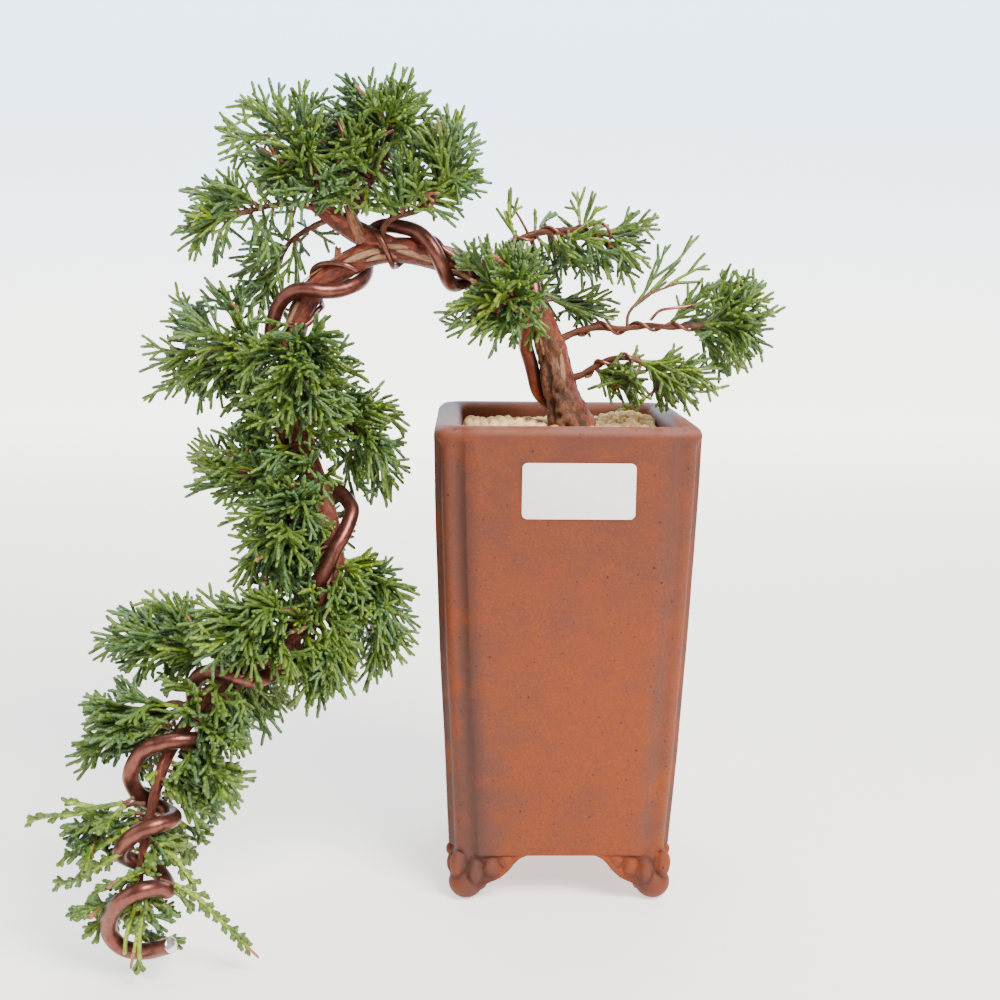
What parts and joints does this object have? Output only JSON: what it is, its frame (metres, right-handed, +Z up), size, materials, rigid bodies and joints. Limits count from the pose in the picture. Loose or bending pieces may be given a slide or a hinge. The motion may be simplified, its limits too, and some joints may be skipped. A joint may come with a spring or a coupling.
{
  "type": "potted juniper bonsai",
  "caption": "Cascade juniper bonsai: a wired trunk arches over the rim of a tall square stoneware pot on clawed feet and hangs down beside it, clothed in sprays of foliage.",
  "frame": {"origin": "centre of the bounding box, on the floor that the pot's feet stand on", "axes": "+Z up, -Y towards the front of the pot, +X to the right of someone who faces that front; the cascade hangs on the -X side"},
  "size_m": [0.259, 0.1496, 0.3002],
  "materials": {
    "stoneware": "unglazed reddish-brown stoneware, faintly sheened, with dark specks",
    "pumice": "cream and tan grains, dry",
    "old_bark": "grey-brown fibrous bark with a knot",
    "bark": "red-brown live bark, cleaned and slightly shiny, with pale peeling strips",
    "bough_bark": "brown scaly bark",
    "anodised_wire": "copper-brown anodised aluminium wire",
    "juniper_leaf": "matt green scale-leaf sprays"
  },
  "bodies": {
    "root": {"apex_limb": "bough_bark", "cascade_back": "juniper_leaf", "cascade_front": "juniper_leaf", "cascade_left_mid": "juniper_leaf", "cascade_left_top": "juniper_leaf", "cascade_middle": "bark", "cascade_right": "juniper_leaf", "cascade_tail": "bark", "cascade_turn": "bark", "cascade_upper": "bark", "crown_back": "juniper_leaf", "crown_bough": "bough_bark", "crown_left": "juniper_leaf", "crown_left_bough": "bough_bark", "crown_right": "juniper_leaf", "crown_right_bough": "bough_bark", "crown_top": "juniper_leaf", "hanging_bough": "bough_bark", "hanging_spray": "juniper_leaf", "left_bough": "bough_bark", "left_spray": "juniper_leaf", "low_left": "juniper_leaf", "low_right": "juniper_leaf", "low_right_bough": "bough_bark", "low_right_side": "juniper_leaf", "middle_back": "juniper_leaf", "middle_front": "juniper_leaf", "pot": "stoneware", "right_bough": "bough_bark", "right_spray": "juniper_leaf", "right_sprig": "juniper_leaf", "shoulder": "juniper_leaf", "shoulder_back": "juniper_leaf", "shoulder_right": "juniper_leaf", "soil": "pumice", "tail_back": "juniper_leaf", "tail_left": "juniper_leaf", "tail_tip": "juniper_leaf", "thin_wire_1": "anodised_wire", "thin_wire_2": "anodised_wire", "trunk_arch": "bark", "trunk_base": "old_bark", "turn_back": "juniper_leaf", "turn_front": "juniper_leaf", "turn_left": "juniper_leaf", "turn_right": "juniper_leaf", "turn_under": "juniper_leaf", "upper_right": "juniper_leaf", "upper_right_bough": "bough_bark", "upright_sprig": "juniper_leaf", "wire_1": "anodised_wire", "wire_2": "anodised_wire", "wire_3": "anodised_wire", "wire_4": "anodised_wire", "wire_5": "anodised_wire", "wire_6": "anodised_wire", "wire_on_low_right_bough": "anodised_wire", "wire_on_right_bough": "anodised_wire", "wire_on_upper_right_bough": "anodised_wire"}
  },
  "joints": []
}
